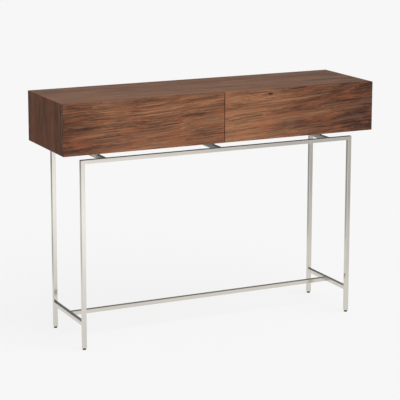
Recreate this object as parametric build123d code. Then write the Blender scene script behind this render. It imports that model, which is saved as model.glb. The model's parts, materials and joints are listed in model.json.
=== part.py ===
from build123d import *
import os

# Console table: a walnut case with two touch-latch drawers, standing clear of a
# slim square-tube frame. Millimetres. X runs along the table, the drawers open
# towards -Y, Z is up. The origin is on the floor, at the centre of the footprint.

# ---- driving dimensions ------------------------------------------------------

# case
case_width = 1067.0
case_depth = 300.0
case_height = 157.5
overall_height = 768.0
panel = 18.0                # boards of the case
back_panel_thickness = 6.0
back_rabbet = 9.0           # how far the back panel laps each board
divider_thickness = 18.0
dowel_setback = 35.0        # first and last dowels to the ends of the joint
dowel_radius = 4.0
dowel_depth = 12.0          # into each of the two boards it joins
mitre_dowel_radius = 3.0
mitre_dowel_depth = 7.0

# drawer fronts
front_thickness = 18.0
centre_gap = 2.0            # between the two fronts
press_gap = 2.5             # behind each front, so that it can be pressed in

# drawer boxes
box_board = 12.0
box_floor_clearance = 12.0  # under the drawer box
box_top_clearance = 14.5    # over it
bottom_thickness = 6.0
bottom_rise = 10.0          # lower edge of the box to the drawer bottom
groove_depth = 6.0
groove_slack = 0.2

# telescopic runners
runner_thickness = 12.7
runner_height = 45.0
runner_sheet = 1.2
runner_setback = 2.0        # behind the front edge of the case
runner_back_clearance = 21.5
race_gap = 0.4              # between one member's flange and the next
flange_setback = 1.3        # flange edge to the face of the neighbouring board

# touch latches
latch_body = 14.0
latch_length = 26.0
latch_flange_width = 34.0
latch_flange_thickness = 3.0
plunger_radius = 4.0
plunger_clearance = 0.3
plunger_rest_gap = 0.3      # between the plunger's tip and the drawer box
plunger_reach = 9.7         # length of the plunger in front of the latch body
plunger_insertion = 14.0    # length of the plunger inside the latch body
plunger_travel = 2.5

# frame
tube = 12.7
tube_wall = 1.5
frame_end_inset = 63.0      # end of the case to the outside of the legs
frame_face_inset = 20.0     # front or back of the case to the outside of the rails
frame_top_gap = 19.0        # frame to the underside of the case
crossbar_inset = 81.5       # outside of the legs to the outer crossbars' centre lines
stretcher_top = 88.0

# levelling feet
foot_radius = 5.5
foot_pad_height = 5.0
foot_seat_gap = 0.3         # between the pad and the end of the leg
foot_stem_radius = 3.0
foot_stem_length = 20.0
foot_clearance = 0.1
bush_length = 24.0

# stand-offs between the frame and the case
spacer_radius = 5.5
spacer_setback = 51.0       # frame rail to the spacer's centre line

# screws
screw_radius = 2.0
screw_head_radius = 3.6
screw_head_height = 1.6
screw_grip = 14.0           # length of thread in the second piece
runner_screw_grip = 8.0     # shorter, because two meet in the divider
runner_screw_setback = 40.0 # end of the runner to its screws
front_screw_setback = 60.0  # side of the drawer box to the screws in its front
front_screw_drop = 22.0     # top of the box to the upper screws in the front
front_screw_rise = 6.0      # drawer bottom to the lower ones
back_screw_count = 5        # in each long edge of the back panel
back_screw_setback = 30.0
case_screw_radius = 2.5
case_screw_head_radius = 5.0
case_screw_head_height = 3.0
screw_hole_clearance = 0.3

# ---- derived positions -------------------------------------------------------

half_width = case_width / 2
half_depth = case_depth / 2
case_bottom = overall_height - case_height
case_front = -half_depth + front_thickness + press_gap
inner_bottom = case_bottom + panel
inner_top = overall_height - panel
inner_half = half_width - panel
back_inner = half_depth - back_panel_thickness

bay_width = inner_half - divider_thickness / 2
bay_centre = divider_thickness / 2 + bay_width / 2
box_width = bay_width - 2 * runner_thickness
box_front = -half_depth + front_thickness
latch_front = back_inner - latch_length
box_back = latch_front - plunger_reach - plunger_rest_gap
box_bottom = inner_bottom + box_floor_clearance
box_top = inner_top - box_top_clearance
bottom_low = box_bottom + bottom_rise
runner_centre = (box_bottom + box_top) / 2
runner_front = case_front + runner_setback
runner_back = back_inner - runner_back_clearance

frame_half = half_width - frame_end_inset
frame_half_depth = half_depth - frame_face_inset
crossbar_x = frame_half - crossbar_inset
frame_top = case_bottom - frame_top_gap
leg_bottom = foot_pad_height + foot_seat_gap
spacer_y = frame_half_depth - tube - spacer_setback

signs = {"left": -1, "right": 1}
ends = {"front": -1, "rear": 1}


# ---- helpers -----------------------------------------------------------------

def block(x, y, z):
    """A box from three (low, high) pairs, each given in either order."""
    size = [abs(pair[1] - pair[0]) for pair in (x, y, z)]
    middle = [(pair[0] + pair[1]) / 2 for pair in (x, y, z)]
    return Pos(*middle) * Box(*size)


def rod(axis, radius, start, length):
    """A cylinder from the point start, along one of the axes "x", "y" or "z"."""
    turn = {"x": Rot(0, 90, 0), "y": Rot(-90, 0, 0), "z": Rot(0, 0, 0)}[axis]
    bar = Cylinder(radius, length, align=(Align.CENTER, Align.CENTER, Align.MIN))
    return Pos(*start) * turn * bar


def prism(outline, y):
    """A solid with a closed outline of (x, z) points, between two depths y."""
    edge = Polyline(*[(px, y[0], pz) for px, pz in outline], close=True)
    return extrude(make_face(edge), amount=y[1] - y[0], dir=(0, 1, 0))


def screw(axis, sign, point, shank, radius=screw_radius, head=None):
    """A headed screw. Its head bears at point, and its shank runs along the axis."""
    head_radius, head_height = head or (screw_head_radius, screw_head_height)
    step = {"x": (sign, 0, 0), "y": (0, sign, 0), "z": (0, 0, sign)}[axis]
    low = [p + s * (shank if sign < 0 else -head_height) for p, s in zip(point, step)]
    head_low = [p + s * (0 if sign < 0 else -head_height) for p, s in zip(point, step)]
    body = rod(axis, radius, low, shank + head_height)
    return body + rod(axis, head_radius, head_low, head_height)


def cut_all(solid, tools):
    """The solid with every tool taken out of it."""
    for tool in tools:
        solid = solid - tool
    return solid


# ---- frame -------------------------------------------------------------------

def square_tube(x, y, z, along):
    """A straight square tube, open at both ends."""
    pairs = {"x": x, "y": y, "z": z}
    bore = {
        name: pair if name == along else (pair[0] + tube_wall, pair[1] - tube_wall)
        for name, pair in pairs.items()
    }
    return block(x, y, z) - block(bore["x"], bore["y"], bore["z"])


def mitred_tube(outer, inner, y):
    """A square tube whose outline and bore both end on the mitre."""
    return prism(outer, y) - prism(inner, (y[0] + tube_wall, y[1] - tube_wall))


def rail(y):
    """A top rail, mitred down to the legs at both ends."""
    def outline(skin):
        high, low = frame_top - skin, frame_top - tube + skin
        wide, narrow = frame_half - skin, frame_half - tube + skin
        return [(-wide, high), (wide, high), (narrow, low), (-narrow, low)]
    return mitred_tube(outline(0), outline(tube_wall), y)


def leg(sign, y):
    """A leg, mitred to its rail at the top and open at the bottom."""
    def outline(skin):
        wide, narrow = sign * (frame_half - skin), sign * (frame_half - tube + skin)
        high, low = frame_top - skin, frame_top - tube + skin
        return [(wide, leg_bottom), (wide, high), (narrow, low), (narrow, leg_bottom)]
    return mitred_tube(outline(0), outline(tube_wall), y)


def tube_depth(end):
    """The (low, high) depths of the front or rear tube of the frame."""
    outside = ends[end] * frame_half_depth
    return tuple(sorted((outside, outside - ends[end] * tube)))


spacer_points = [
    (x, sign * spacer_y)
    for x in (-crossbar_x, 0, crossbar_x)
    for sign in (-1, 1)
]
case_screw_holes = [
    rod("z", case_screw_radius + screw_hole_clearance, (x, y, frame_top - tube), tube)
    for x, y in spacer_points
]
case_screw_length = tube + frame_top_gap + screw_grip
clear_depth = (tube - frame_half_depth, frame_half_depth - tube)
crossbar_height = (frame_top - tube, frame_top)
stretcher_height = (stretcher_top - tube, stretcher_top)

nodes = {}

for end in ends:
    nodes[f"{end}_rail"] = rail(tube_depth(end))
    for side, sign in signs.items():
        nodes[f"{end}_{side}_leg"] = leg(sign, tube_depth(end))

for name, x in {"left": -crossbar_x, "middle": 0, "right": crossbar_x}.items():
    span = (x - tube / 2, x + tube / 2)
    bar = square_tube(span, clear_depth, crossbar_height, "y")
    nodes[f"{name}_crossbar"] = cut_all(bar, case_screw_holes)

for side, sign in signs.items():
    span = tuple(sorted((sign * frame_half, sign * (frame_half - tube))))
    nodes[f"{side}_stretcher"] = square_tube(span, clear_depth, stretcher_height, "y")

nodes["long_stretcher"] = square_tube(
    (tube - frame_half, frame_half - tube), (-tube / 2, tube / 2), stretcher_height, "x"
)

# ---- levelling feet ----------------------------------------------------------

bushes = []
for end in ends:
    for side, sign in signs.items():
        x = sign * (frame_half - tube / 2)
        y = sum(tube_depth(end)) / 2
        half_bore = tube / 2 - tube_wall
        bush = block(
            (x - half_bore, x + half_bore),
            (y - half_bore, y + half_bore),
            (leg_bottom, leg_bottom + bush_length),
        )
        thread = rod("z", foot_stem_radius + foot_clearance, (x, y, leg_bottom), bush_length)
        bushes.append(bush - thread)
        pad = rod("z", foot_radius, (x, y, 0), foot_pad_height)
        pad = fillet(pad.edges().group_by(Axis.Z)[0], 1.0)
        stem = rod("z", foot_stem_radius, (x, y, foot_pad_height), foot_stem_length)
        nodes[f"{end}_{side}_foot"] = pad + stem
nodes["leg_bushes"] = Compound(bushes)

# ---- stand-offs --------------------------------------------------------------

spacers = []
case_screws = []
for x, y in spacer_points:
    bore = rod("z", case_screw_radius + screw_hole_clearance, (x, y, frame_top), frame_top_gap)
    spacers.append(rod("z", spacer_radius, (x, y, frame_top), frame_top_gap) - bore)
    head = (case_screw_head_radius, case_screw_head_height)
    case_screws.append(
        screw("z", 1, (x, y, frame_top - tube), case_screw_length, case_screw_radius, head)
    )
nodes["standoff_spacers"] = Compound(spacers)
nodes["case_screws"] = Compound(case_screws)
case_screw_pilots = [
    rod("z", case_screw_radius, (x, y, case_bottom), screw_grip) for x, y in spacer_points
]

# ---- case --------------------------------------------------------------------

board_depth = (case_front, half_depth)
back_size_x = (-inner_half - back_rabbet, inner_half + back_rabbet)
back_size_z = (inner_bottom - back_rabbet, inner_top + back_rabbet)
back_recess = block(back_size_x, (back_inner, half_depth), back_size_z)


def level_board(outside, inside):
    """The top or the bottom of the case, mitred at both ends."""
    outline = [
        (-half_width, outside), (half_width, outside), (inner_half, inside), (-inner_half, inside)
    ]
    return prism(outline, board_depth) - back_recess


def upright_board(sign):
    """An end of the case, mitred at the top and the bottom."""
    outline = [
        (sign * half_width, case_bottom),
        (sign * half_width, overall_height),
        (sign * inner_half, inner_top),
        (sign * inner_half, inner_bottom),
    ]
    return prism(outline, board_depth) - back_recess


# Dowels stand square to each mitre, and upright in the ends of the divider.
dowels = []
dowel_depths = [
    case_front + dowel_setback, (case_front + back_inner) / 2, back_inner - dowel_setback
]
for sign in (-1, 1):
    for z, tilt in ((overall_height - panel / 2, 1), (case_bottom + panel / 2, -1)):
        for y in dowel_depths:
            turn = Rot(0, -sign * tilt * 45, 0)
            centre = Pos(sign * (half_width - panel / 2), y, z)
            dowels.append(centre * turn * Rot(0, 90, 0)
                          * Cylinder(mitre_dowel_radius, 2 * mitre_dowel_depth))
for z in (inner_bottom, inner_top):
    for y in dowel_depths:
        dowels.append(rod("z", dowel_radius, (0, y, z - dowel_depth), 2 * dowel_depth))

back_screw_span = 2 * (inner_half - back_screw_setback)
back_screw_pitch = back_screw_span / (back_screw_count - 1)
back_screws = []
back_screw_holes = []
for z in (inner_bottom - back_rabbet / 2, inner_top + back_rabbet / 2):
    for number in range(back_screw_count):
        x = number * back_screw_pitch - back_screw_span / 2
        head_face = (x, half_depth - screw_head_height, z)
        shank = back_panel_thickness - screw_head_height + screw_grip
        back_screws.append(screw("y", -1, head_face, shank))
        back_screw_holes.append(screw("y", -1, head_face, shank))

nodes["top_panel"] = cut_all(level_board(overall_height, inner_top), dowels + back_screw_holes)
nodes["bottom_panel"] = cut_all(
    level_board(case_bottom, inner_bottom), dowels + back_screw_holes + case_screw_pilots
)
nodes["centre_divider"] = cut_all(
    block(
        (-divider_thickness / 2, divider_thickness / 2),
        (case_front, back_inner),
        (inner_bottom, inner_top),
    ),
    dowels,
)
nodes["back_panel"] = cut_all(
    block(back_size_x, (back_inner, half_depth), back_size_z), back_screw_holes
)
nodes["case_dowels"] = Compound(dowels)
nodes["back_panel_screws"] = Compound(back_screws)

# ---- drawers, runners and latches --------------------------------------------


def channel(wall, sign, web, flange, half_height, y):
    """A runner member: a C section lying on its side.

    wall is the X of the face that the runner is screwed to, and sign points
    from it into the bay. web and flange are (low, high) distances from wall.
    """
    def away(pair):
        return (wall + sign * pair[0], wall + sign * pair[1])
    body = block(away(web), y, (runner_centre - half_height, runner_centre + half_height))
    for side in (-1, 1):
        edge = runner_centre + side * half_height
        body = body + block(away(flange), y, (edge, edge - side * runner_sheet))
    return body


cabinet_screws = []
for side, sign in signs.items():
    centre = sign * bay_centre
    x_low, x_high = centre - box_width / 2, centre + box_width / 2
    inside_x = (x_low + box_board, x_high - box_board)
    box_y = (box_front, box_back)
    box_z = (box_bottom, box_top)
    inside_y = (box_front + box_board, box_back - box_board)

    # drawer bottom and the groove it sits in
    bottom_x = (inside_x[0] - groove_depth + groove_slack, inside_x[1] + groove_depth - groove_slack)
    bottom_y = (inside_y[0] - groove_depth + groove_slack, inside_y[1] + groove_depth - groove_slack)
    nodes[f"{side}_drawer_bottom"] = block(
        bottom_x, bottom_y, (bottom_low, bottom_low + bottom_thickness)
    )
    groove = block(
        (inside_x[0] - groove_depth, inside_x[1] + groove_depth),
        (inside_y[0] - groove_depth, inside_y[1] + groove_depth),
        (bottom_low, bottom_low + bottom_thickness + groove_slack),
    )

    # front, fixed to the box by screws from inside
    front_x = (sign * centre_gap / 2, sign * half_width)
    front = block(front_x, (-half_depth, box_front), (case_bottom, overall_height))
    front_screws = []
    for share_x in (-1, 1):
        for z in (bottom_low + bottom_thickness + front_screw_rise, box_top - front_screw_drop):
            point = (
                centre + share_x * (box_width / 2 - front_screw_setback), inside_y[0], z
            )
            front_screws.append(screw("y", -1, point, box_board + screw_grip))
    nodes[f"{side}_drawer_front"] = cut_all(front, front_screws)
    nodes[f"{side}_drawer_box_front"] = cut_all(
        block(inside_x, (box_front, inside_y[0]), box_z) - groove, front_screws
    )
    nodes[f"{side}_drawer_front_screws"] = Compound(front_screws)
    nodes[f"{side}_drawer_box_back"] = block(inside_x, (inside_y[1], box_back), box_z) - groove

    # one runner on each side of the box
    drawer_screws = []
    for place, away in (("outer", -sign), ("inner", sign)):
        wall = sign * (inner_half if place == "outer" else divider_thickness / 2)
        box_face = wall + away * runner_thickness
        board_x = (box_face, box_face + away * box_board)
        board = block(board_x, box_y, box_z) - groove

        cabinet_y = (runner_front, runner_back)
        half = runner_height / 2
        reach = runner_thickness - flange_setback
        head_room = runner_sheet + screw_head_height + race_gap
        cabinet = channel(wall, away, (0, runner_sheet), (0, reach), half, cabinet_y)
        half -= runner_sheet + race_gap
        middle = channel(
            wall, away, (head_room, head_room + runner_sheet), (head_room, reach), half, cabinet_y
        )
        half -= runner_sheet + race_gap
        near = head_room + runner_sheet + race_gap
        web = (runner_thickness - runner_sheet, runner_thickness)
        drawer = channel(wall, away, web, (near, runner_thickness), half, box_y)

        wall_screws = [
            screw("x", -away, (wall + away * runner_sheet, y, runner_centre),
                  runner_sheet + runner_screw_grip)
            for y in (runner_front + runner_screw_setback, runner_back - runner_screw_setback)
        ]
        side_screws = [
            screw("x", away, (box_face - away * runner_sheet, y, runner_centre),
                  runner_sheet + runner_screw_grip)
            for y in (box_front + runner_screw_setback, box_back - runner_screw_setback)
        ]
        cabinet_screws += wall_screws
        drawer_screws += side_screws
        nodes[f"{side}_drawer_{place}_side"] = cut_all(board, side_screws)
        nodes[f"{side}_{place}_cabinet_runner"] = cut_all(cabinet, wall_screws)
        nodes[f"{side}_{place}_middle_runner"] = middle
        nodes[f"{side}_{place}_drawer_runner"] = cut_all(drawer, side_screws)
    nodes[f"{side}_drawer_runner_screws"] = Compound(drawer_screws)
    nodes[f"{side}_end_panel"] = cut_all(upright_board(sign), dowels)

    # latch on the back panel, with its plunger against the back of the box
    half_body = latch_body / 2
    half_flange = latch_flange_width / 2
    housing = block(
        (centre - half_body, centre + half_body),
        (latch_front, back_inner),
        (runner_centre - half_body, runner_centre + half_body),
    )
    housing = housing + block(
        (centre - half_flange, centre + half_flange),
        (back_inner - latch_flange_thickness, back_inner),
        (runner_centre - half_body, runner_centre + half_body),
    )
    bore_depth = plunger_insertion + 2 * plunger_travel
    tip = (centre, box_back + plunger_rest_gap, runner_centre)
    mouth = (centre, latch_front, runner_centre)
    nodes[f"{side}_latch_housing"] = housing - rod(
        "y", plunger_radius + plunger_clearance, mouth, bore_depth
    )
    nodes[f"{side}_latch_plunger"] = rod(
        "y", plunger_radius, tip, latch_front + plunger_insertion - tip[1]
    )

for side in signs:
    nodes[f"{side}_end_panel"] = cut_all(nodes[f"{side}_end_panel"], cabinet_screws)
nodes["centre_divider"] = cut_all(nodes["centre_divider"], cabinet_screws)
nodes["cabinet_runner_screws"] = Compound(cabinet_screws)

# ---- output ------------------------------------------------------------------

os.makedirs("parts", exist_ok=True)
for name, shape in nodes.items():
    shape.label = name
    export_step(shape, f"parts/{name}.step")
print(len(nodes), "nodes")
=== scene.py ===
# %% [markdown]
# # A console table with two push-open drawers
#
# The real table is a long box of walnut-veneered board, 1067 mm wide and 300 mm deep. It
# stands 19 mm clear of a frame of 12.7 mm square nickel-plated tube. The solid model already
# holds every size and every joint, so this script only gives the pieces their looks: softened
# edges, veneer grain, brushed plating, plywood and zinc.

# %% Load the fixed frame
import json
import math

import bmesh
import bpy
import numpy as np
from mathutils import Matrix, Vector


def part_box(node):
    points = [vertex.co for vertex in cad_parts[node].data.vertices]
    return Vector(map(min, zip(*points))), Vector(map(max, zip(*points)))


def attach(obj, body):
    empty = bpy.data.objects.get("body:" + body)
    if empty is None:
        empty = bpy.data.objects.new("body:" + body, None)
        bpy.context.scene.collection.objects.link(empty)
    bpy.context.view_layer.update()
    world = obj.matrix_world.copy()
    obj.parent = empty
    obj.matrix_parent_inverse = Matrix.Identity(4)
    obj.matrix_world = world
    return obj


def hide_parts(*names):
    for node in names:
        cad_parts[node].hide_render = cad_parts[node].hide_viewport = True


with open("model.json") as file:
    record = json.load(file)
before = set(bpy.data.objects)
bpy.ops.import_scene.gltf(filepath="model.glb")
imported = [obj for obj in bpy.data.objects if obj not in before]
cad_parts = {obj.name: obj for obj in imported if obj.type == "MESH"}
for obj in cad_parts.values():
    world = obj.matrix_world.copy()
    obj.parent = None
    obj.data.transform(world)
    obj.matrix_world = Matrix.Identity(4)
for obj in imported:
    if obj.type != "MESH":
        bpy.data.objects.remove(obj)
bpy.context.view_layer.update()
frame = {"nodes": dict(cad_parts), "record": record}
MM = 0.001

# %% [markdown]
# ## Shapes
#
# Nearly every piece here is a straight bar or board: one outline, carried along a line. Real
# boards and tubes never end in a perfectly sharp edge, so each outline has eased corners, and
# each square end is drawn in a little over the last millimetre. A bar that meets its neighbour
# in a mitre is cut at 45 degrees instead. Working these out as whole numpy arrays keeps the
# rounding exact, which a modifier would only approximate.

# %% Outlines with eased corners
def eased_outline(corners, radius, steps=4):
    """A closed outline (n, 2) whose corners are eased.

    Each corner P, with tangent points A and B at `radius` from it along its two edges, is
    replaced by the curve (1-t)^2 A + 2t(1-t) P + t^2 B, for t from 0 to 1.
    """
    points = np.asarray(corners, float)
    before = np.roll(points, 1, axis=0) - points
    after = np.roll(points, -1, axis=0) - points
    first = points + before / np.linalg.norm(before, axis=1, keepdims=True) * radius
    last = points + after / np.linalg.norm(after, axis=1, keepdims=True) * radius
    t = np.linspace(0, 1, steps + 1)[None, :, None]
    first, middle, last = first[:, None], points[:, None], last[:, None]
    curve = (1 - t) ** 2 * first + 2 * t * (1 - t) * middle + t ** 2 * last
    return curve.reshape(-1, 2)


def rectangle(low, high):
    """The four corners of a rectangle, anticlockwise."""
    return [(low[0], low[1]), (high[0], low[1]), (high[0], high[1]), (low[0], high[1])]


# %% [markdown]
# A square end is eased by a quarter circle: at angle a from 0 to 90 degrees, the outline stands
# r (1 - cos a) back from the end and is drawn in by r (1 - sin a). At a mitre the outer arris is
# eased by the first half of the same quarter circle, so two mitred neighbours meet in one
# unbroken round edge.

# %% Carry an outline along a line
def carried(outline, low, high, radius, mitre_low=False, mitre_high=False, steps=4):
    """Rings (k, n, 3) of (along, inward, across) for an outline (n, 2) of (inward, across).

    inward is the distance in from the outer face. A mitred end lies at high - inward.
    """
    inward, across = outline[None, :, 0], outline[None, :, 1]
    centre = (outline.max(0) + outline.min(0)) / 2
    half = (outline.max(0) - outline.min(0)) / 2

    def end(limit, sign, mitred):
        if mitred:
            angle = np.linspace(0, math.pi / 4, steps + 1)[:, None]
            drop = radius * (1 - np.cos(angle)) * np.clip(1 - inward / radius, 0, 1)
            new_inward = inward + drop
            setback = radius * (np.cos(angle) - np.sin(angle))
            along = sign * (sign * limit - new_inward - setback)
            new_across = across + 0 * new_inward
        else:
            angle = np.linspace(math.pi / 2, 0, steps + 1)[:, None]
            draw_in = radius * (1 - np.sin(angle))
            new_inward = centre[0] + (inward - centre[0]) * (1 - draw_in / half[0])
            new_across = centre[1] + (across - centre[1]) * (1 - draw_in / half[1])
            along = limit - sign * radius * (1 - np.cos(angle)) + 0 * new_inward
        return np.stack([along, new_inward, new_across], axis=-1)

    return np.concatenate([end(low, -1, mitre_low)[::-1], end(high, 1, mitre_high)])


def turned(profile, centre, sides=32):
    """Rings (k, n, 3) of a lathe-turned solid about a vertical axis.

    Each profile point (radius, height) becomes the circle (r cos a, r sin a, h), centred on
    `centre`, whose third value is added to every height.
    """
    angle = np.linspace(0, 2 * math.pi, sides, endpoint=False)[None, :]
    radius, height = (np.asarray(profile, float)[:, i][:, None] for i in (0, 1))
    rings = np.stack([radius * np.cos(angle), radius * np.sin(angle), height + 0 * angle], -1)
    return rings + np.asarray(centre, float)


# %% [markdown]
# The rings become a closed mesh: quads between neighbouring rings, and one flat face over each
# end. Faces are smooth within an eased edge and sharp elsewhere, and a weighted normal keeps
# the broad flats flat.

# %% Make a mesh from rings
made = {}


def piece(name, rings, body, node, material, sharp=math.radians(50)):
    """A closed skin over rings (k, n, 3), which stands for one CAD node and rides on its body."""
    count, around = rings.shape[:2]
    index = np.arange(count * around).reshape(count, around)
    here, there = index[:-1], index[1:]
    quads = np.stack(
        [here, np.roll(here, -1, 1), np.roll(there, -1, 1), there], axis=-1
    ).reshape(-1, 4)
    faces = quads.tolist() + [index[0][::-1].tolist(), index[-1].tolist()]
    mesh = bpy.data.meshes.new(name)
    mesh.from_pydata(rings.reshape(-1, 3).tolist(), [], faces)
    skin = bmesh.new()
    skin.from_mesh(mesh)
    bmesh.ops.remove_doubles(skin, verts=skin.verts, dist=1e-7)
    bmesh.ops.recalc_face_normals(skin, faces=skin.faces)
    skin.to_mesh(mesh)
    skin.free()
    mesh.polygons.foreach_set("use_smooth", np.ones(len(mesh.polygons), bool))
    mesh.set_sharp_from_angle(angle=sharp)
    obj = bpy.data.objects.new(name, mesh)
    bpy.context.scene.collection.objects.link(obj)
    weighted = obj.modifiers.new("flat_faces", "WEIGHTED_NORMAL")
    weighted.keep_sharp = True
    weighted.weight = 100
    obj.data.materials.append(material)
    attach(obj, body)
    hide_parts(node)
    made[name] = len(mesh.polygons)


node_slots = {entry["node"]: entry["material_slot"] for entry in frame["record"]["subparts"]}
node_bodies = {
    node: body for body, nodes in frame["record"]["behaviour"]["bodies"].items() for node in nodes
}
print("material slots", sorted(set(node_slots.values())))

# %% [markdown]
# ## Shader maths
#
# A finish is a formula over the piece's own coordinates. Writing it with + and * is easier to
# follow than a page of node links, so one small class wraps an output socket and adds the Math
# nodes itself.

# %% Sockets as numbers
class Field:
    """A value or a colour that varies over a surface: one output of a node."""

    def __init__(self, tree, socket):
        self.tree = tree
        self.socket = socket

    def node(self, kind, settings=None, output=0, **inputs):
        """Adds a node: its type, its settings, then the values or links of its inputs.

        An input is named by its socket name in lower case with _ for a space, or by i and its
        number. The setting "stops" fills a colour ramp with (place, colour) pairs.
        """
        added = self.tree.nodes.new(kind)
        for key, value in (settings or {}).items():
            if key == "stops":
                ramp = added.color_ramp
                while len(ramp.elements) < len(value):
                    ramp.elements.new(0.5)
                for element, (place, colour) in zip(ramp.elements, value):
                    element.position = place
                    element.color = (*colour, 1.0)
            else:
                setattr(added, key, value)
        names = {s.name.lower().replace(" ", "_"): s for s in reversed(added.inputs)}
        for key, value in inputs.items():
            numbered = key[0] == "i" and key[1:].isdigit()
            target = added.inputs[int(key[1:])] if numbered else names[key]
            if isinstance(value, Field):
                self.tree.links.new(value.socket, target)
            else:
                target.default_value = value
        return Field(self.tree, added.outputs[output])

    def math(self, operation, first, second):
        """One Math node, such as first + second for ADD."""
        return self.node("ShaderNodeMath", {"operation": operation}, i0=first, i1=second)

    def __add__(self, other):
        return self.math("ADD", self, other)

    def __sub__(self, other):
        return self.math("SUBTRACT", self, other)

    def __rsub__(self, other):
        return self.math("SUBTRACT", other, self)

    def __mul__(self, other):
        return self.math("MULTIPLY", self, other)

    def __truediv__(self, other):
        return self.math("DIVIDE", self, other)

    def __pow__(self, other):
        return self.math("POWER", self, other)

    __radd__ = __add__
    __rmul__ = __mul__

    def between(self, low, high):
        """0 below low, 1 above high, and a smooth step between."""
        return self.node(
            "ShaderNodeMapRange",
            {"interpolation_type": "SMOOTHSTEP"},
            value=self, from_min=low, from_max=high,
        )

    def mix(self, first, second):
        """The colour `first` where this value is 0, and `second` where it is 1."""
        first, second = (
            colour if isinstance(colour, Field) else (*colour, 1.0) for colour in (first, second)
        )
        return self.node(
            "ShaderNodeMix", {"data_type": "RGBA"}, output=2, i0=self, i6=first, i7=second
        )

    def ramp(self, stops):
        """The colour at this value along a ramp of (place, colour) stops."""
        return self.node("ShaderNodeValToRGB", {"stops": stops}, fac=self)

    def filtered(self, colour):
        """This colour seen through a coloured filter: each channel is multiplied."""
        return self.node("ShaderNodeVectorMath", {"operation": "MULTIPLY"}, i0=self, i1=colour)

    def times(self, colour):
        """This value times a colour."""
        return self.node("ShaderNodeVectorMath", {"operation": "SCALE"}, i0=colour, i3=self)


def srgb(*levels):
    """Linear light from the 0 to 255 numbers that a colour is usually given in."""
    share = np.asarray(levels, float) / 255
    linear = np.where(share <= 0.04045, share / 12.92, ((share + 0.055) / 1.055) ** 2.4)
    return tuple(float(v) for v in linear)


class Finish:
    """A new material: its Principled shader, and the piece's own coordinates in metres."""

    def __init__(self, name, **constants):
        self.material = bpy.data.materials.new(name)
        self.material.use_nodes = True
        self.tree = self.material.node_tree
        self.shader = self.tree.nodes["Principled BSDF"]
        for key, value in constants.items():
            self.shader.inputs[key.replace("_", " ")].default_value = value
        place = self.tree.nodes.new("ShaderNodeTexCoord")
        self.place = Field(self.tree, place.outputs["Object"])

    def feed(self, socket, field):
        """Links a field to one input of the Principled shader."""
        self.tree.links.new(field.socket, self.shader.inputs[socket])

    def bump(self, height, distance):
        """Tilts the surface as if a height of 1 stood `distance` metres proud of it."""
        tilted = height.node("ShaderNodeBump", height=height, strength=1.0, distance=distance)
        self.feed("Normal", tilted)

    def noise(self, place, scale, detail=2.0, rough=0.5, distortion=0.0):
        """Smooth noise about 0.5, with about `scale` blobs to one unit of `place`."""
        return place.node(
            "ShaderNodeTexNoise", vector=place, scale=scale, detail=detail,
            roughness=rough, distortion=distortion,
        )

    def split(self, place):
        """The x, y and z of a place, as three fields."""
        parts = self.tree.nodes.new("ShaderNodeSeparateXYZ")
        self.tree.links.new(place.socket, parts.inputs[0])
        return [Field(self.tree, socket) for socket in parts.outputs]

    def stretched(self, place, scale, shift=(0.0, 0.0, 0.0), turn=(0.0, 0.0, 0.0)):
        """A place scaled along each axis, then turned, then shifted."""
        return place.node(
            "ShaderNodeMapping", {"vector_type": "POINT"},
            vector=place, location=shift, rotation=turn, scale=scale,
        )


# %% [markdown]
# ## Walnut veneer
#
# The case is covered in one species of veneer, but every face is a different leaf. The grain
# runs along the table on the top and the fronts, and upright on the ends. Walnut is built up in
# layers: soft streaks a finger wide, threads a few millimetres wide, fine fibre, patches that
# lean to red or to grey, and pores like short pencil strokes. Each is noise stretched along the
# grain, and the place that is read is bent a little first, so that no line is ruler straight.
#
# A scale is the number of blobs to a metre, first along the grain and then across it: 45 across
# gives a streak about 22 mm wide.

# %% Walnut
WALNUT_DEEP = srgb(46, 27, 19)
WALNUT_DARK = srgb(72, 43, 29)
WALNUT_MID = srgb(101, 65, 43)
WALNUT_LIGHT = srgb(139, 94, 63)
WALNUT_RED = srgb(128, 70, 42)
WALNUT_GREY = srgb(96, 72, 56)
WALNUT_STOPS = [(0.0, WALNUT_DEEP), (0.24, WALNUT_DARK), (0.5, WALNUT_MID), (0.85, WALNUT_LIGHT)]
# how far the long and the short waves of the grain bend it aside, in metres
LONG_WAVE, SHORT_WAVE = 0.045, 0.011
# how far each layer moves a point along the ramp of walnut colours
STREAK_GAIN, THREAD_GAIN, PATCH_GAIN, FIBRE_GAIN = 1.0, 1.85, 0.45, 0.3
RED_SHARE, GREY_SHARE, PORE_SHARE = 0.50, 0.35, 0.5
KNOT_LENGTH, KNOT_HEIGHT = 0.0085, 0.0035
KNOT_BROWN, KNOT_SHARE = srgb(40, 22, 15), 0.9
# Painted shade: plain dark colours for the case's underside, standing in for the shade under the
# case.
SHADE_UNDERSIDE_DARK, SHADE_UNDERSIDE_LIGHT = srgb(20, 16, 14), srgb(36, 29, 25)
SHADE_UNDERSIDE_BLEND = 0.1 * MM
PORE_DEPTH = 0.00008


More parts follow.
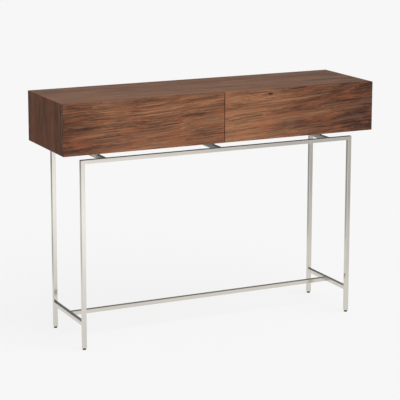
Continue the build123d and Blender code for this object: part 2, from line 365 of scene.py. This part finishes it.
def walnut(name, grain="x", shift=(0.0, 0.0, 0.0), slope=0.0, painted_falloff=(), knot=None, painted_shade_level=0.0,
           tint_and_painted_light=(1.0, 1.0, 1.0), gloss=0.22, front_light=0.0, painted_shade_below=None):
    """Satin-lacquered walnut.

    grain is the axis it runs along, shift picks its own part of the noise, slope tilts it a
    little, and gloss is how strongly its lacquer reflects. painted_shade_level lightens or darkens
    the whole leaf; where it is used, it paints shade. tint_and_painted_light filters its colour:
    the leaf's own tint, with a painted sheen on the top and fronts and painted shade on the ends.
    painted_falloff is a list of (x, step): painted light and shade that lightens or darkens a
    leaf along its length. front_light paints light on the left end of a leaf towards its
    front edge. knot is the (x, z) of one small knot. Below the height painted_shade_below the
    face is painted shade, a plain dark colour instead of veneer.
    """
    made_of = Finish(name, Roughness=0.5, Specular_IOR_Level=gloss)
    turn = (0.0, math.radians(90), 0.0) if grain == "z" else (0.0, math.atan(slope), 0.0)
    straight = made_of.stretched(made_of.place, (1.0, 1.0, 1.0), shift, turn)
    bend = made_of.noise(made_of.stretched(straight, (1.8, 7.0, 7.0)), 1.0, 2.0)
    small_bend = made_of.noise(made_of.stretched(straight, (7.0, 30.0, 30.0)), 1.0, 2.0)
    lift = (bend - 0.5) * LONG_WAVE + (small_bend - 0.5) * SHORT_WAVE
    along, depth, height = made_of.split(straight)
    bent = straight.node("ShaderNodeCombineXYZ", x=along, y=depth + lift, z=height + lift)

    streaks = made_of.noise(made_of.stretched(bent, (1.4, 45.0, 45.0)), 1.0, 3.0, 0.9)
    threads = made_of.noise(made_of.stretched(bent, (2.6, 230.0, 230.0)), 1.0, 3.0, 1.0)
    patches = made_of.noise(made_of.stretched(bent, (5.0, 26.0, 26.0), (4.0, 2.0, 7.0)), 1.0, 2.0)
    hue = made_of.noise(made_of.stretched(bent, (9.0, 42.0, 42.0), (1.0, 6.0, 3.0)), 1.0, 3.0, 0.7)
    fibre = made_of.noise(made_of.stretched(bent, (45.0, 900.0, 900.0)), 1.0, 2.0, 0.6)
    pores = made_of.noise(made_of.stretched(straight, (110.0, 2200.0, 2200.0)), 1.0, 1.0)

    value = 0.5 + (streaks - 0.5) * STREAK_GAIN + (threads - 0.5) * THREAD_GAIN
    # The last term lightens or darkens a whole leaf; where it is used, it paints shade.
    value = value + (patches - 0.5) * PATCH_GAIN + (fibre - 0.5) * FIBRE_GAIN + painted_shade_level
    place_x, place_y, place_z = made_of.split(made_of.place)
    # Painted light and shade: steps that lighten or darken the leaf along its length.
    for (x0, step0), (x1, step1) in zip(painted_falloff, painted_falloff[1:]):
        value = value + place_x.between(x0, x1) * (step1 - step0)
    if painted_falloff:
        value = value + painted_falloff[0][1]
    # Painted light on the left end of the leaf, towards its front edge.
    if front_light:
        painted_light_to_front = 0.5 - place_y.between(-0.15, 0.15)
        value = value + painted_light_to_front * (1 - place_x.between(-0.1, 0.4)) * front_light
    colour = value.ramp(WALNUT_STOPS)
    colour = (hue.between(0.50, 0.66) * RED_SHARE).mix(colour, WALNUT_RED)
    colour = ((1 - hue.between(0.34, 0.46)) * GREY_SHARE).mix(colour, WALNUT_GREY)
    dash = pores.between(0.62, 0.74)
    colour = (dash * PORE_SHARE).mix(colour, WALNUT_DEEP)
    if knot:
        knot_x, knot_z = (place_x - knot[0]) / KNOT_LENGTH, (place_z - knot[1]) / KNOT_HEIGHT
        away = knot_x ** 2.0 + knot_z ** 2.0
        colour = ((1 - away.between(0.2, 2.0)) * KNOT_SHARE).mix(colour, KNOT_BROWN)
    # The colour filter is partly the leaf's own tint and partly painted light: a sheen on the top
    # and fronts, and shade on the ends.
    colour = colour.filtered(tint_and_painted_light)
    # Painted shade: below a set height the underside is plain dark colour instead of veneer.
    if painted_shade_below:
        underside_shade = patches.mix(SHADE_UNDERSIDE_DARK, SHADE_UNDERSIDE_LIGHT)
        veneered = place_z.between(painted_shade_below - SHADE_UNDERSIDE_BLEND, painted_shade_below + SHADE_UNDERSIDE_BLEND)
        colour = veneered.mix(underside_shade, colour)
    made_of.feed("Base Color", colour)
    made_of.feed("Roughness", 0.46 + (fibre - 0.5) * 0.15 + dash * 0.15)
    made_of.bump((fibre - 0.5) * 0.6 - dash, PORE_DEPTH)
    return made_of.material


# %% [markdown]
# ## The case
#
# The top, the ends and the bottom are one band of board, mitred at its four corners. Each board
# is an L in section, because the back panel sits in a rabbet along its rear edge. The underside
# is painted shade: a plain dark colour in place of veneer, which stands in for the shade under
# the case. Nobody looks at it, but the plated rails just below it reflect it, which darkens the
# upper face of each rail.

# %% Case boards
top_low, top_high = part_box("top_panel")
bottom_low, bottom_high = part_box("bottom_panel")
back_low, back_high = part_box("back_panel")
half_width = top_high.x
case_top, case_bottom = top_high.z, bottom_low.z
board = top_high.z - top_low.z
lap = back_high.z - top_low.z
ease = 0.7 * MM
section = eased_outline(
    [(0, top_low.y), (board, top_low.y), (board, back_low.y), (lap, back_low.y),
     (lap, top_high.y), (0, top_high.y)], ease
)
middle = (case_top + case_bottom) / 2
rise = (case_top - case_bottom) / 2
TO_PLACE = {
    "top": lambda u, v, w: (u, w, case_top - v),
    "bottom": lambda u, v, w: (u, w, case_bottom + v),
    "left": lambda u, v, w: (v - half_width, w, middle + u),
    "right": lambda u, v, w: (half_width - v, w, middle + u),
}


def placed(rings, to_place):
    """Rings of (along, inward, across) moved into the table's own axes."""
    return np.stack(to_place(rings[..., 0], rings[..., 1], rings[..., 2]), axis=-1)


# How far above the bottom face the underside's painted shade reaches.
SHADE_UNDERSIDE_RISE = 0.4 * MM
# Painted light and shade along the top: lighter towards the left end, darker at the right end.
TOP_PAINTED_FALLOFF = [(-0.53, 0.08), (-0.10, 0.05), (0.25, 0.04), (0.53, -0.07)]
# Painted shade: a darker, warmer tint for the end faces.
END_PAINTED_SHADE_TINT = (1.02, 0.84, 0.62)
# The top's bluish tint is partly its own colour and partly a painted sheen, the haze its lacquer
# reflects. The top also gets painted light at the front of its left end.
leaves = {
    "top": {"shift": (3.1, 0.4, 1.7), "painted_falloff": TOP_PAINTED_FALLOFF, "front_light": 0.24,
            "tint_and_painted_light": (1.04, 1.12, 1.18), "gloss": 0.62},
    "bottom": {"shift": (7.7, 3.6, 0.8), "painted_shade_below": case_bottom + SHADE_UNDERSIDE_RISE},
    # The ends are darkened and warmed: painted shade on the end faces.
    "left": {"shift": (5.3, 2.2, 6.1), "grain": "z", "painted_shade_level": -0.09, "tint_and_painted_light": END_PAINTED_SHADE_TINT,
             "gloss": 0.12},
    "right": {"shift": (1.4, 8.2, 2.9), "grain": "z", "painted_shade_level": -0.09, "tint_and_painted_light": END_PAINTED_SHADE_TINT,
              "gloss": 0.12},
}
for side, node, reach in (
    ("top", "top_panel", half_width), ("bottom", "bottom_panel", half_width),
    ("left", "left_end_panel", rise), ("right", "right_end_panel", rise),
):
    veneer = walnut(f"walnut_{side}", slope=0.02, **leaves[side])
    rings = carried(section, -reach, reach, ease, mitre_low=True, mitre_high=True)
    piece(f"{side}_board", placed(rings, TO_PLACE[side]), "table", node, veneer)
print("case boards", made)


# %% [markdown]
# ## Boards with square ends
#
# The drawer fronts, the back panel, the divider and the boards of the drawer boxes are plain
# boards. Each is an eased rectangle carried along its longest side.

# %% Plain boards
def plain_board(name, node, material, radius=0.5 * MM):
    """A board that fills its CAD node's box, with its length along the box's longest side."""
    low, high = (np.array(corner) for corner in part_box(node))
    order = np.argsort(low - high)
    along, inward, across = (int(axis) for axis in order)
    outline = eased_outline(
        rectangle((low[inward], low[across]), (high[inward], high[across])), radius
    )
    rings = carried(outline, low[along], high[along], radius)
    settled = np.empty_like(rings)
    for axis, column in ((along, 0), (inward, 1), (across, 2)):
        settled[..., axis] = rings[..., column]
    piece(name, settled, node_bodies[node], node, material)


# Painted light and shade along the drawer fronts: brightest near the middle of the table, darker
# towards each end.
LEFT_PAINTED_FALLOFF = [(-0.53, -0.14), (-0.38, 0.02), (-0.15, 0.0), (-0.02, -0.02)]
RIGHT_PAINTED_FALLOFF = [(0.0, 0.22), (0.14, 0.12), (0.28, -0.07), (0.52, -0.30)]
# Partly the fronts' own tint, partly a painted sheen: its blue lift stands in for the haze the
# lacquer reflects.
FRONT_TINT_AND_SHEEN = (1.07, 1.12, 1.24)
FRONT_GLOSS = 0.14
FRONT_EASE, BACK_EASE = 0.6 * MM, 0.3 * MM
KNOT_PLACE = (0.160, 0.754)
plain_board(
    "left_front", "left_drawer_front",
    walnut("walnut_left_front", shift=(0.3, 5.1, 3.3), slope=0.05, painted_falloff=LEFT_PAINTED_FALLOFF,
           tint_and_painted_light=FRONT_TINT_AND_SHEEN, gloss=FRONT_GLOSS), FRONT_EASE,
)
plain_board(
    "right_front", "right_drawer_front",
    walnut("walnut_right_front", shift=(9.3, 3.1, 8.1), slope=0.06, painted_falloff=RIGHT_PAINTED_FALLOFF,
           tint_and_painted_light=FRONT_TINT_AND_SHEEN, gloss=FRONT_GLOSS, knot=KNOT_PLACE), FRONT_EASE,
)
plain_board("back_board", "back_panel", walnut("walnut_back", shift=(2.2, 1.9, 9.4)), BACK_EASE)
# The divider is dark walnut: painted shade, so that the gap between the drawer fronts reads dark.
plain_board(
    "divider_board", "centre_divider", walnut("walnut_divider", shift=(6.6, 4.4, 2.1), painted_shade_level=-0.2)
)


# %% [markdown]
# ## Birch plywood
#
# The drawer boxes are pale lacquered birch ply. A faint, wide figure runs along each board, with
# a fine grain over it. The edges have the same plain tone: their plies aren't drawn.

# %% Plywood
LACQUER_AMBER, LACQUER_SHARE = srgb(150, 112, 74), 0.275


def lacquered(colour):
    """A bare wood's colour, moved part of the way to the amber of its lacquer."""
    return tuple(
        bare + (amber - bare) * LACQUER_SHARE for bare, amber in zip(colour, LACQUER_AMBER)
    )


BIRCH_STOPS = [
    (0.2, lacquered(srgb(196, 164, 122))), (0.5, lacquered(srgb(219, 190, 149))),
    (0.8, lacquered(srgb(232, 208, 171))),
]
PLY_EASE = 0.6 * MM


def birch(name, grain):
    """Clear-lacquered birch plywood. The figure on its faces runs along the grain axis."""
    made_of = Finish(name, Roughness=0.45)
    stretch = {axis: 90.0 for axis in "xyz"}
    stretch[grain] = 5.0
    figure = made_of.noise(
        made_of.stretched(made_of.place, tuple(stretch.values())), 1.0, 3.0, 0.6, 0.4
    )
    fine = made_of.noise(
        made_of.stretched(made_of.place, tuple(v * 12 for v in stretch.values())), 1.0, 2.0
    )
    value = 0.5 + (figure - 0.5) * 0.9 + (fine - 0.5) * 0.5
    made_of.feed("Base Color", value.ramp(BIRCH_STOPS))
    made_of.feed("Roughness", 0.44 + fine * 0.14)
    made_of.bump(fine, 0.00005)
    return made_of.material


PLY = {axis: birch(f"birch_ply_along_{axis}", axis) for axis in "xy"}
for side in ("left", "right"):
    for part, grain in (
        ("box_front", "x"), ("box_back", "x"), ("outer_side", "y"), ("inner_side", "y"),
        ("bottom", "x"),
    ):
        node = f"{side}_drawer_{part}"
        plain_board(f"{node}_board", node, PLY[grain], PLY_EASE)


# %% [markdown]
# ## Nickel-plated tube
#
# The frame is plated and brushed along the tube, so it is bright but not a mirror: it shows the
# pale room as soft bands. Brushing leaves fine scratches along the tube, a slight change of
# gloss from place to place, and nothing that a hand could feel.

# %% Brushed nickel
def nickel(name, along):
    """Satin nickel, brushed along one axis ("x", "y" or "z")."""
    made_of = Finish(name, Metallic=1.0, Roughness=0.28)
    scratch = {axis: 700.0 for axis in "xyz"}
    scratch[along] = 12.0
    brushed = made_of.noise(
        made_of.stretched(made_of.place, tuple(scratch.values())), 1.0, 3.0, 0.6
    )
    cloud = made_of.noise(made_of.place, 14.0, 2.0)
    made_of.feed(
        "Base Color", (brushed * 0.4 + cloud * 0.6).mix(srgb(204, 199, 191), srgb(220, 215, 207))
    )
    made_of.feed("Roughness", 0.09 + brushed * 0.05 + cloud * 0.04)
    made_of.bump(brushed, 0.000004)
    return made_of.material


NICKEL = {along: nickel(f"nickel_along_{along}", along) for along in "xyz"}
rail_low, rail_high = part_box("front_rail")
tube = rail_high.z - rail_low.z
frame_half, frame_top = rail_high.x, rail_high.z
leg_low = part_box("front_left_leg")[0].z
tube_ease = 1.2 * MM
for end in ("front", "rear"):
    low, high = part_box(f"{end}_rail")
    outline = eased_outline(rectangle((0, low.y), (tube, high.y)), tube_ease)
    rings = carried(outline, -frame_half, frame_half, tube_ease, mitre_low=True, mitre_high=True)
    piece(
        f"{end}_rail_tube", placed(rings, lambda u, v, w: (u, w, frame_top - v)),
        "table", f"{end}_rail", NICKEL["x"],
    )
    rings = carried(outline, leg_low, frame_top, tube_ease, mitre_high=True)
    piece(
        f"{end}_left_leg_tube", placed(rings, lambda u, v, w: (v - frame_half, w, u)),
        "table", f"{end}_left_leg", NICKEL["z"],
    )
    piece(
        f"{end}_right_leg_tube", placed(rings, lambda u, v, w: (frame_half - v, w, u)),
        "table", f"{end}_right_leg", NICKEL["z"],
    )

# %% Bars between the two U frames
for node in ("left_crossbar", "middle_crossbar", "right_crossbar", "left_stretcher",
             "right_stretcher"):
    plain_board(f"{node}_tube", node, NICKEL["y"], tube_ease)
plain_board("long_stretcher_tube", "long_stretcher", NICKEL["x"], tube_ease)


# %% [markdown]
# ## Feet
#
# Each leg ends in a small black levelling foot: a round pad on a threaded stem that screws up
# into the leg. The pad has a rounded lower edge, so that it slides without catching.

# %% Levelling feet
def black_coat():
    """Satin black coating, with the faint unevenness of a sprayed finish."""
    made_of = Finish("black_coat", Roughness=0.5, Specular_IOR_Level=0.3)
    grain = made_of.noise(made_of.place, 900.0, 2.0)
    made_of.feed("Base Color", grain.mix(srgb(9, 9, 10), srgb(20, 20, 21)))
    made_of.bump(grain, 0.00003)
    return made_of.material


BLACK = black_coat()
STEM_RADIUS, STEM_SHOWS = 3.0 * MM, 0.3 * MM
PAD_ROUND, PAD_BEVEL, STEM_BEVEL = 1.0 * MM, 0.4 * MM, 0.5 * MM
for end in ("front", "rear"):
    for side in ("left", "right"):
        node = f"{end}_{side}_foot"
        low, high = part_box(node)
        pad_radius = (high.x - low.x) / 2
        pad_height = leg_low - low.z - STEM_SHOWS
        stem_top = high.z - low.z
        turn = np.linspace(0, math.pi / 2, 5)
        rim = [
            (pad_radius - PAD_ROUND + PAD_ROUND * math.sin(a), PAD_ROUND - PAD_ROUND * math.cos(a))
            for a in turn
        ]
        profile = rim + [
            (pad_radius, pad_height - PAD_BEVEL), (pad_radius - PAD_BEVEL, pad_height),
            (STEM_RADIUS, pad_height), (STEM_RADIUS, stem_top - STEM_BEVEL),
            (STEM_RADIUS - STEM_BEVEL, stem_top),
        ]
        centre = ((low.x + high.x) / 2, (low.y + high.y) / 2, low.z)
        rings = turned(profile, centre)
        piece(f"{node}_turned", rings, node, node, BLACK, sharp=math.radians(35))


# %% [markdown]
# ## Hardware that keeps its CAD shape
#
# Runners, screws, spacers, dowels, bushes and latches already have their right shape, so they
# only need a finish. Zinc plate shows a faint crystal pattern and fine drawing lines.

# %% Zinc, moulded plastic and beech
def zinc():
    """Bright zinc plate."""
    made_of = Finish("zinc_plate", Metallic=1.0, Roughness=0.35)
    spangle = made_of.noise(made_of.place, 260.0, 2.0)
    drawn = made_of.noise(made_of.stretched(made_of.place, (900.0, 14.0, 900.0)), 1.0, 2.0)
    made_of.feed("Base Color", spangle.mix(srgb(176, 180, 186), srgb(204, 207, 211)))
    made_of.feed("Roughness", 0.26 + spangle * 0.12 + drawn * 0.08)
    made_of.bump(drawn, 0.00002)
    return made_of.material


def moulded(name, dark, light):
    """Moulded nylon with a fine spark-eroded texture."""
    made_of = Finish(name, Roughness=0.5)
    grain = made_of.noise(made_of.place, 1400.0, 3.0)
    cloud = made_of.noise(made_of.place, 60.0, 1.0)
    made_of.feed("Base Color", (grain * 0.5 + cloud * 0.5).mix(dark, light))
    made_of.bump(grain, 0.00003)
    return made_of.material


def beech():
    """Bare beech, flecked with short darker rays."""
    made_of = Finish("beech", Roughness=0.6)
    fleck = made_of.noise(made_of.stretched(made_of.place, (400.0, 400.0, 60.0)), 1.0, 2.0)
    made_of.feed(
        "Base Color", fleck.between(0.35, 0.65).mix(srgb(176, 130, 92), srgb(205, 164, 124))
    )
    made_of.bump(fleck, 0.00004)
    return made_of.material


KEPT_FINISH = {
    "zinc_steel": zinc(),
    "grey_plastic": moulded("grey_nylon", srgb(96, 98, 101), srgb(118, 120, 123)),
    "black_plastic": moulded("black_nylon", srgb(18, 18, 19), srgb(30, 30, 31)),
    "beech": beech(),
}
kept = 0
for node, obj in frame["nodes"].items():
    finish_for = KEPT_FINISH.get(node_slots[node])
    if finish_for:
        obj.data.materials.clear()
        obj.data.materials.append(finish_for)
        kept += 1
print("CAD nodes that keep their shape", kept)

# %% [markdown]
# ## Floor, light and camera
#
# The table stands in a white studio: a pale floor without an edge, a soft sky that is dim near
# the horizon and brighter overhead, and one broad sun from the front and a little to the right,
# so that the left end of the case is the darkest face. The sun lights every piece but is left
# out of reflections, where it would draw a thin white line along each corner of the tube.
#
# Bright metal only looks like metal when it has something to reflect, so a photographer lays a
# white card and a few dark ones on the floor round the set, just out of the picture. Here the
# cards are soft round pools in the floor's glow, which the metal reflects and nobody sees
# directly: the Light Path node leaves them out where the floor itself is looked at.

# %% Studio
FLOOR_SIZE = 60.0
FLOOR_GLOW = 0.79
FLOOR_GREY = (0.13, 0.13, 0.13, 1.0)
WHITE = (1.0, 1.0, 1.0)
SKY_LOW, SKY_HIGH = 0.15, 0.49
floor_mesh = bpy.data.meshes.new("studio_floor")
floor_mesh.from_pydata(
    [(-FLOOR_SIZE, -FLOOR_SIZE, 0), (FLOOR_SIZE, -FLOOR_SIZE, 0),
     (FLOOR_SIZE, FLOOR_SIZE, 0), (-FLOOR_SIZE, FLOOR_SIZE, 0)], [], [(0, 1, 2, 3)]
)
floor = bpy.data.objects.new("studio_floor", floor_mesh)
bpy.context.scene.collection.objects.link(floor)
paper = Finish("studio_paper", Roughness=1.0)
paper.shader.inputs["Base Color"].default_value = FLOOR_GREY
paper.shader.inputs["Specular IOR Level"].default_value = 0.0
paper.shader.inputs["Emission Strength"].default_value = 1.0


def card(x, y, inner, outer, strength):
    """strength within inner metres of a point on the floor, 0 beyond outer, smooth between."""
    away = paper.place.node(
        "ShaderNodeVectorMath", {"operation": "DISTANCE"}, output=1, i0=paper.place, i1=(x, y, 0.0)
    )
    return (1 - away.between(inner, outer)) * strength


white_card = card(0.15, -1.85, 0.2, 1.7, 0.38)
front_right_cards = card(2.6, -2.2, 1.0, 2.0, 0.30) + card(3.6, 1.0, 0.9, 1.7, 0.50)
dark_cards = front_right_cards + card(1.2, -1.2, 0.2, 1.2, 0.22)
for rear_card in (
    card(-0.7, 2.15, 0.25, 0.75, 0.22), card(-1.4, 3.6, 1.3, 2.9, 0.40),
    card(-2.1, 4.7, 0.8, 1.8, 0.40), card(-0.35, 1.2, 0.3, 0.8, 0.36),
    card(-0.8, 1.0, 0.2, 0.5, 0.15), card(-1.55, 2.75, 0.15, 0.55, 0.42),
):
    dark_cards = dark_cards + rear_card
looked_at = paper.place.node("ShaderNodeLightPath")
glow = FLOOR_GLOW + (white_card - dark_cards) * (1 - looked_at)
paper.feed("Emission Color", glow.times(WHITE))
floor_mesh.materials.append(paper.material)

world = bpy.data.worlds.new("studio_sky")
world.use_nodes = True
sky_tree = world.node_tree
sky = Field(sky_tree, sky_tree.nodes.new("ShaderNodeTexCoord").outputs["Generated"])
upward = sky.node("ShaderNodeSeparateXYZ", output=2, vector=sky)
sky_light = (SKY_LOW + upward.between(0.2, 0.6) * (SKY_HIGH - SKY_LOW)).times(WHITE)
sky_tree.links.new(sky_light.socket, sky_tree.nodes["Background"].inputs["Color"])
bpy.context.scene.world = world


def sun(name, strength, width, azimuth, elevation):
    """A broad even light. azimuth is the compass side it comes from: 0 is +Y, 90 is +X."""
    lamp = bpy.data.lights.new(name, "SUN")
    lamp.energy = strength
    lamp.angle = math.radians(width)
    holder = bpy.data.objects.new(name, lamp)
    holder.rotation_euler = (math.radians(90 - elevation), 0, math.radians(180 - azimuth))
    holder.visible_glossy = False
    bpy.context.scene.collection.objects.link(holder)


sun("key_light", strength=3.3, width=80, azimuth=155, elevation=38)

camera = bpy.data.cameras.new("studio_camera")
camera.lens = 142.9
camera.sensor_width = 36.0
camera.shift_y = -0.15
viewer = bpy.data.objects.new("studio_camera", camera)
viewer.location = (-2.179, -4.464, 1.533)
viewer.rotation_euler = (math.radians(79.292), math.radians(-0.092), math.radians(-25.875))
bpy.context.scene.collection.objects.link(viewer)
bpy.context.scene.camera = viewer
bpy.context.scene.view_settings.view_transform = "Standard"

# %% Finish
print("pieces", len(made), "faces", sum(made.values()))
